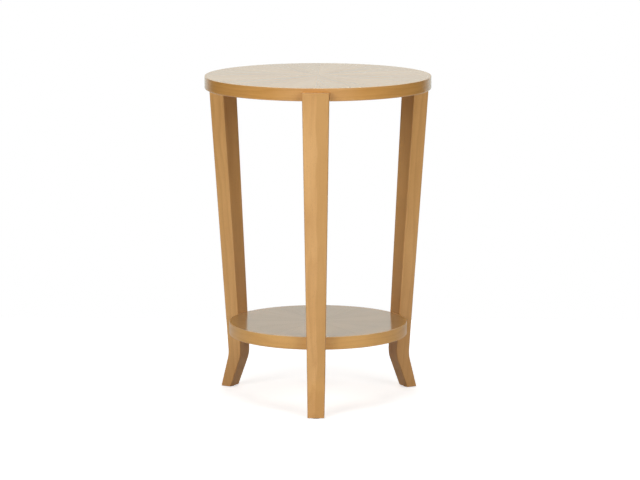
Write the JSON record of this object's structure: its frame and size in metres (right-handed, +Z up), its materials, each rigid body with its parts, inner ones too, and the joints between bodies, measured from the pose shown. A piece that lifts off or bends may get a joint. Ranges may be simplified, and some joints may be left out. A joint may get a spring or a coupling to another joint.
{
  "type": "round end table with shelf",
  "caption": "Round end table with a sunburst-veneered top, leaning sabre legs and a round lower shelf between them.",
  "frame": {"origin": "on the floor, under the centre of the round top", "axes": "+Z up; the front leg points to -Y, and the other two to 30 and 150 degrees from +X"},
  "size_m": [0.423, 0.4399, 0.61],
  "materials": {
    "leg_wood": "satin lacquer",
    "edge_band_wood": "satin lacquer",
    "face_veneer": "gloss lacquer",
    "backing_veneer": "matt lacquer",
    "core_board": "raw board",
    "cast_zinc": "dull cast",
    "bolt_steel": "plated",
    "glide_nylon": "matt"
  },
  "bodies": {
    "root": {"leg_front": "leg_wood", "leg_left": "leg_wood", "leg_right": "leg_wood", "top_core": "core_board", "top_edge_band": "edge_band_wood", "top_backing_veneer": "backing_veneer", "top_veneer_leaf_01": "face_veneer", "top_veneer_leaf_02": "face_veneer", "top_veneer_leaf_03": "face_veneer", "top_veneer_leaf_04": "face_veneer", "top_veneer_leaf_05": "face_veneer", "top_veneer_leaf_06": "face_veneer", "top_veneer_leaf_07": "face_veneer", "top_veneer_leaf_08": "face_veneer", "top_veneer_leaf_09": "face_veneer", "top_veneer_leaf_10": "face_veneer", "top_veneer_leaf_11": "face_veneer", "top_veneer_leaf_12": "face_veneer", "shelf_core": "core_board", "shelf_edge_band": "edge_band_wood", "shelf_backing_veneer": "backing_veneer", "shelf_veneer_leaf_01": "face_veneer", "shelf_veneer_leaf_02": "face_veneer", "shelf_veneer_leaf_03": "face_veneer", "shelf_veneer_leaf_04": "face_veneer", "shelf_veneer_leaf_05": "face_veneer", "shelf_veneer_leaf_06": "face_veneer", "shelf_veneer_leaf_07": "face_veneer", "shelf_veneer_leaf_08": "face_veneer", "shelf_veneer_leaf_09": "face_veneer", "shelf_veneer_leaf_10": "face_veneer", "shelf_veneer_leaf_11": "face_veneer", "shelf_veneer_leaf_12": "face_veneer", "cam_locks": "cast_zinc", "cam_bolts": "bolt_steel", "glides": "glide_nylon"}
  },
  "joints": []
}
